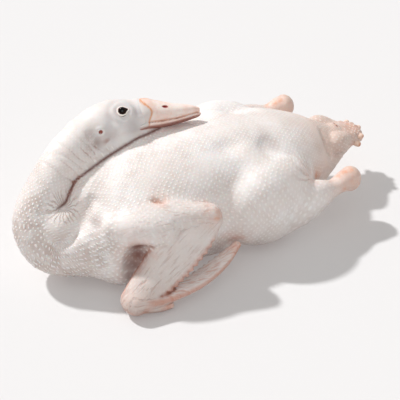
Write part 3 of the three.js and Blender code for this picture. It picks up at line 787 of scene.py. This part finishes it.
nostrils = []
for degrees in (NOSTRIL_DEGREES, 180 - NOSTRIL_DEGREES):
    spot, way = on(upper_bill, NOSTRIL_ALONG, degrees)
    nostril = Egg(spot + way * 0.2, NOSTRIL_RADII)
    ahead = np.array([np.interp(NOSTRIL_ALONG, upper_bill.length, upper_bill.along[:, i]) for i in range(3)])
    nostril.axes = np.stack([ahead, np.cross(way, ahead), way], 1)
    nostril.low, nostril.high = nostril.at - 3, nostril.at + 3
    nostrils.append((nostril, BILL_BLEND))


def horn(p):
    total = joined(np.full(len(p), FAR), [(upper_bill, BILL_BLEND), (lower_bill, BILL_BLEND)], p)
    return pressed(total, nostrils, p)


bill_points, bill_quads = surface(horn, (-66, 8, 84), (16, 62, 134), BILL_CELL)
bill_points = settle(bill_points, horn)[0]
along_bill, _, up_bill = upper_bill.local(bill_points)[:3]
face_edge = 7 + 4.5 * np.exp(-((up_bill + 0.2) / 0.5) ** 2) + smooth(-up_bill, 0.3, 0.9)
rim = np.exp(-((along_bill - face_edge) / 0.8) ** 2)
face = smooth(face_edge - along_bill, -0.5, 0.5)
to_upper, to_lower = upper_bill.distance(bill_points), lower_bill.distance(bill_points)
mouth = (1 - smooth(np.abs(to_upper - to_lower), 0.3, 1.3)) * (1 - face)
# Painted shade along the underside of the lower half, where it lies close over the back.
shade_under_bill = smooth(-lower_bill.local(bill_points)[2], 0.3, 0.9) * smooth(to_upper, 0.5, 1.5)
lip = np.exp(-((to_lower - 2.2) / 0.8) ** 2) * (1 - face) * smooth(-up_bill, 0.1, 0.5)
tip_share = smooth(along_bill, 55, 63)
ridge = smooth(up_bill, 0.7, 0.95) * (1 - smooth(along_bill, 14, 32)) * (1 - face)
nostril_mark = np.zeros(len(bill_points))
nostril_ring = np.zeros(len(bill_points))
for nostril, _ in nostrils:
    away = nostril.distance(bill_points)
    nostril_mark = np.maximum(nostril_mark, 1 - smooth(away, 0.0, 0.7))
    nostril_ring = np.maximum(nostril_ring, np.exp(-((away - 1.8) / 0.8) ** 2))

# Horn of the bill: translucent peach over pink flesh, with orange along its edges and painted shade along its
# underside, smooth and dull.
horn_material, tree = new_material("pale bill horn")
place = add_node(tree, PLACE, {}, {}, "Object")
noises = []
for size_mm in (12, 2.2):
    inputs = {"Vector": place, "Scale": PER_METRE / size_mm, "Detail": 3.0}
    noises.append(add_node(tree, NOISE, {}, inputs, "Fac"))
cloud, grain = noises
share = add_node(tree, RANGE, SOFT, {0: cloud, 1: 0.35, 2: 0.65})
colour = add_node(tree, BLENDED, MIX, {0: share, 6: linear("#FAEBE4"), 7: linear("#F5D9CD")}, 2)
share = add_node(tree, RANGE, SOFT, {0: grain, 1: 0.5, 2: 0.75, 4: 0.2})
colour = add_node(tree, BLENDED, MIX, {0: share, 6: colour, 7: linear("#E2B3A0")}, 2)
for key, strength, shade in (
        ("face", 0.95, "#DDD5D1"), ("edge", 0.9, "#DE9159"), ("ring", 0.7, "#F8ECE4"),
        ("mouth", 0.95, "#8A3220"), ("shade_under_bill", 0.85, "#A04A33"), ("nostril", 1.0, "#93190E")):
    amount = add_node(tree, ATTRIBUTE, {"attribute_name": key}, {}, "Fac")
    share = add_node(tree, MATH, dict(TIMES, use_clamp=True), {0: amount, 1: strength})
    colour = add_node(tree, BLENDED, MIX, {0: share, 6: colour, 7: linear(shade)}, 2)
bump = add_node(tree, "ShaderNodeBump", {}, {"Height": grain, "Strength": 0.25, "Distance": 0.001}, "Normal")
surface_of_horn = add_node(tree, "ShaderNodeBsdfPrincipled", {}, {
    "Base Color": colour, "Roughness": 0.42, "IOR": 1.54, "Normal": bump, "Subsurface Weight": 0.12,
    "Subsurface Radius": (1.0, 0.4, 0.25), "Subsurface Scale": 0.002})
add_node(tree, "ShaderNodeOutputMaterial", {}, {"Surface": surface_of_horn})
bill = mesh_object("bill", bill_points, bill_quads, {
    "edge": np.max([rim, 0.8 * tip_share, 0.7 * lip, 0.7 * ridge], axis=0), "mouth": mouth, "face": face,
    "shade_under_bill": shade_under_bill, "nostril": nostril_mark, "ring": nostril_ring})
bill.data.materials.append(horn_material)
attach(bill, "root")
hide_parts("duck")

# Eyes. Each is a wet ball of clear cornea over a nearly black iris, with a dark pointed corner
# towards the bill. It sits in the head with only the front of the ball showing.
EYE_RADIUS, EYE_CORNER = 5.0, 0.30
EYE_AROUND, EYE_DEEP = 48, 24
eye_material, tree = new_material("wet dark eye")
outer = add_node(tree, ATTRIBUTE, {"attribute_name": "outer"}, {}, "Fac")
place = add_node(tree, PLACE, {}, {}, "Object")
inputs = {"Vector": place, "Scale": PER_METRE / 0.6, "Detail": 2.0}
flecks = add_node(tree, NOISE, {}, inputs, "Fac")
share = add_node(tree, RANGE, SOFT, {0: outer, 1: 0.42, 2: 0.5})
share = add_node(tree, MATH, TIMES, {0: share, 1: flecks})
colour = add_node(tree, BLENDED, MIX, {0: share, 6: linear("#070505"), 7: linear("#3A241B")}, 2)
surface_of_eye = add_node(tree, "ShaderNodeBsdfPrincipled", {}, {
    "Base Color": colour, "Roughness": 0.04, "IOR": 1.34, "Specular IOR Level": 0.35})
add_node(tree, "ShaderNodeOutputMaterial", {}, {"Surface": surface_of_eye})


def eye_frame(eye):
    """The directions at an eye: out of the head, towards the bill, and across."""
    where = int(np.argmin(np.linalg.norm(head.centre - eye, axis=1)))
    ahead = head.along[where]
    out = np.array(eye) - head.centre[where]
    out -= ahead * (out @ ahead)
    out /= np.linalg.norm(out)
    return out, ahead, np.cross(out, ahead)


def rings_joined(first, count, around, closed=False):
    """Quads between rings of points that follow each other, and from the last to the first if closed."""
    faces = []
    for ring in range(count if closed else count - 1):
        a, b = first + ring * around, first + (ring + 1) % count * around
        faces += [(a + i, b + i, b + (i + 1) % around, a + (i + 1) % around) for i in range(around)]
    return faces


for side_name, eye in zip(("left", "right"), EYES):
    out, ahead, across = eye_frame(eye)
    turn = np.linspace(0, 2 * math.pi, EYE_AROUND, endpoint=False)
    ball = [np.array(eye) + out * EYE_RADIUS]
    outer_values = [0.0]
    for ring in range(1, EYE_DEEP):
        down = math.pi * ring / EYE_DEEP
        point = np.exp(-(np.minimum(turn, 2 * math.pi - turn) / 0.33) ** 2) * math.sin(down) ** 2
        flat = EYE_RADIUS * math.sin(down) * (1 + EYE_CORNER * point)
        ball += list(np.array(eye) + out * EYE_RADIUS * math.cos(down)
                     + ahead * (flat * np.cos(turn))[:, None] + across * (flat * np.sin(turn))[:, None])
        outer_values += [math.sin(down)] * EYE_AROUND
    ball.append(np.array(eye) - out * EYE_RADIUS)
    outer_values.append(0.0)
    last = len(ball) - 1
    faces = [(0, 1 + i, 1 + (i + 1) % EYE_AROUND) for i in range(EYE_AROUND)]
    faces += rings_joined(1, EYE_DEEP - 1, EYE_AROUND)
    faces += [(last, last - EYE_AROUND + (i + 1) % EYE_AROUND, last - EYE_AROUND + i)
              for i in range(EYE_AROUND)]
    eyeball = mesh_object("eyeball_" + side_name, ball, faces, {"outer": outer_values})
    eyeball.data.materials.append(eye_material)
    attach(eyeball, "root")
    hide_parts("eye_" + side_name)

# Eyelids. A bare rim of skin goes round each eye in the shape of an almond with its point towards
# the bill. It is thicker and paler than the skin beside it, and dark brown on its inner side where it meets
# the ball.
LID_AROUND, LID_SIDES = 72, 12
LID_OPENING, LID_CORNER, LID_WIDE, LID_TALL = 4.3, 1.7, 0.85, 0.75
lid_material, tree = new_material("bare eyelid rim")
inner = add_node(tree, ATTRIBUTE, {"attribute_name": "inner"}, {}, "Fac")
place = add_node(tree, PLACE, {}, {}, "Object")
inputs = {"Vector": place, "Scale": PER_METRE / 1.2, "Detail": 2.0}
flecks = add_node(tree, NOISE, {}, inputs, "Fac")
share = add_node(tree, RANGE, SOFT, {0: flecks, 1: 0.4, 2: 0.7, 4: 0.5})
colour = add_node(tree, BLENDED, MIX, {0: share, 6: linear("#F4ECE6"), 7: linear("#E5D2C6")}, 2)
colour = add_node(tree, BLENDED, MIX, {0: inner, 6: colour, 7: linear("#7A4A38")}, 2)
surface_of_lid = add_node(tree, "ShaderNodeBsdfPrincipled", {}, {
    "Base Color": colour, "Roughness": 0.35, "IOR": 1.42, "Subsurface Weight": 0.1,
    "Subsurface Radius": (1.0, 0.45, 0.3), "Subsurface Scale": 0.001})
add_node(tree, "ShaderNodeOutputMaterial", {}, {"Surface": surface_of_lid})
for side_name, eye in zip(("left", "right"), EYES):
    out, ahead, across = eye_frame(eye)
    turn = np.linspace(0, 2 * math.pi, LID_AROUND, endpoint=False)
    front = np.minimum(turn, 2 * math.pi - turn)
    opening = LID_OPENING - 0.45 * np.sin(turn) ** 2 + LID_CORNER * np.exp(-(front / 0.3) ** 2)
    flat = ahead * (opening * np.cos(turn))[:, None] + across * (opening * np.sin(turn))[:, None]
    ring, ring_out = settle(np.array(eye) + out * 2.6 + flat, flesh, 5)
    radial = flat / np.linalg.norm(flat, axis=1)[:, None]
    radial -= ring_out * (radial * ring_out).sum(1)[:, None]
    lid_points, inner_values = [], []
    for i in range(LID_SIDES):
        a = 2 * math.pi * i / LID_SIDES
        raised = 0.25 + LID_TALL * math.sin(a)
        lid_points += list(ring + radial * LID_WIDE * math.cos(a) + ring_out * raised)
        inner_values += [float(smooth(np.array(-math.cos(a)), 0.5, 0.95))] * LID_AROUND
    faces = rings_joined(0, LID_SIDES, LID_AROUND, closed=True)
    eyelid = mesh_object("eyelid_" + side_name, lid_points, faces, {"inner": inner_values})
    eyelid.data.materials.append(lid_material)
    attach(eyelid, "root")
    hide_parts("duck")

# Quill stubs. The butts of the plucked tail feathers stand in an arc round the tail's end: short
# blunt pegs of horn in orange-pink sheaths, darker at the broken tips, each rooted in the skin.
STUB_PROFILE = [(8, 2.8), (14, 3.2), (17, 3.1), (18.9, 2.6), (20, 1.7), (20.4, 0.7)]
STUB_SIDES = 14
stub_material, tree = new_material("feather quill butt")
outer = add_node(tree, ATTRIBUTE, {"attribute_name": "outer"}, {}, "Fac")
place = add_node(tree, PLACE, {}, {}, "Object")
inputs = {"Vector": place, "Scale": PER_METRE / 1.5, "Detail": 2.0}
flecks = add_node(tree, NOISE, {}, inputs, "Fac")
colour = add_node(tree, BLENDED, MIX, {0: flecks, 6: linear("#F1DCCF"), 7: linear("#E8BFA6")}, 2)
colour = add_node(tree, BLENDED, MIX, {0: outer, 6: colour, 7: linear("#D08A66")}, 2)
bump = add_node(tree, "ShaderNodeBump", {}, {"Height": flecks, "Strength": 0.4, "Distance": 0.0006}, "Normal")
surface_of_stub = add_node(tree, "ShaderNodeBsdfPrincipled", {}, {
    "Base Color": colour, "Roughness": 0.45, "IOR": 1.5, "Normal": bump})
add_node(tree, "ShaderNodeOutputMaterial", {}, {"Surface": surface_of_stub})
stub_points, stub_faces, stub_outer = [], [], []
for i, way in enumerate(STUB_WAYS):
    ahead = np.array((math.cos(way), math.sin(way), 0.12 * (1 if i % 2 else -1)))
    across = np.array((-math.sin(way), math.cos(way), 0.0))
    first = len(stub_points)
    for reach, radius in STUB_PROFILE:
        for j in range(STUB_SIDES):
            a = 2 * math.pi * j / STUB_SIDES
            stub_points.append(STUB_CENTRE + ahead * reach + across * radius * math.cos(a)
                               + np.array((0, 0, radius * math.sin(a))))
            stub_outer.append(min(max((reach - 19) / 1.5, 0), 1))
    stub_faces += [face[::-1] for face in rings_joined(first, len(STUB_PROFILE), STUB_SIDES)]
    stub_faces.append([first + j for j in reversed(range(STUB_SIDES))])
    stub_faces.append([len(stub_points) - STUB_SIDES + j for j in range(STUB_SIDES)])
stubs = mesh_object("quill_stubs", stub_points, stub_faces, {"outer": stub_outer})
stubs.data.materials.append(stub_material)
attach(stubs, "root")
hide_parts("duck")

# Floor, light and camera: a plain pale studio table, lit from high at the back left by a small sharp
# sun, and from above the front by a broad soft one. The camera stands as in the photo.
FLOOR = 6.0
floor_mesh = bpy.data.meshes.new("floor")
floor_mesh.from_pydata([(-FLOOR, -FLOOR, 0), (FLOOR, -FLOOR, 0), (FLOOR, FLOOR, 0), (-FLOOR, FLOOR, 0)], [],
                       [(0, 1, 2, 3)])
floor = bpy.data.objects.new("floor", floor_mesh)
bpy.context.scene.collection.objects.link(floor)
paper, tree = new_material("matt studio paper")
surface_of_paper = add_node(tree, "ShaderNodeBsdfPrincipled", {}, {
    "Base Color": linear("#DEDDDD"), "Roughness": 0.9})
add_node(tree, "ShaderNodeOutputMaterial", {}, {"Surface": surface_of_paper})
floor_mesh.materials.append(paper)

world = bpy.data.worlds.new("studio")
bpy.context.scene.world = world
world.use_nodes = True
world.node_tree.nodes["Background"].inputs["Color"].default_value = linear("#F7F4F2")
world.node_tree.nodes["Background"].inputs["Strength"].default_value = 0.38

KEY_FROM = Vector((-0.40, 0.80, 1.0))
FILL_FROM = Vector((-0.25, -0.40, 1.0))


def add_sun(name, way, energy, degrees, shadow=True):
    data = bpy.data.lights.new(name, "SUN")
    data.energy = energy
    data.angle = math.radians(degrees)
    data.use_shadow = shadow
    lamp = bpy.data.objects.new(name, data)
    lamp.rotation_euler = way.to_track_quat("Z", "Y").to_euler()
    bpy.context.scene.collection.objects.link(lamp)


add_sun("key", KEY_FROM, energy=2.65, degrees=3.5)
add_sun("fill", FILL_FROM, energy=0.98, degrees=40, shadow=False)

AZIMUTH, ELEVATION = math.radians(-28.5), math.radians(39.0)
DISTANCE = 1.150
AIM = Vector((0, 0, 0.040))
FOCAL_PIXELS, FRAME_PIXELS, SENSOR_MM = 1278, 400, 36
AIM_PIXEL = (204.76, 183.68)
backward = Vector((math.sin(AZIMUTH) * math.cos(ELEVATION), -math.cos(AZIMUTH) * math.cos(ELEVATION),
                   math.sin(ELEVATION)))
camera_data = bpy.data.cameras.new("camera")
camera_data.sensor_width = SENSOR_MM
camera_data.lens = SENSOR_MM * FOCAL_PIXELS / FRAME_PIXELS
camera_data.shift_x = -(AIM_PIXEL[0] - FRAME_PIXELS / 2) / FRAME_PIXELS
camera_data.shift_y = (AIM_PIXEL[1] - FRAME_PIXELS / 2) / FRAME_PIXELS
camera = bpy.data.objects.new("camera", camera_data)
camera.location = AIM + backward * DISTANCE
camera.rotation_euler = backward.to_track_quat("Z", "Y").to_euler()
bpy.context.scene.collection.objects.link(camera)
bpy.context.scene.camera = camera
bpy.context.scene.view_settings.view_transform = "Standard"
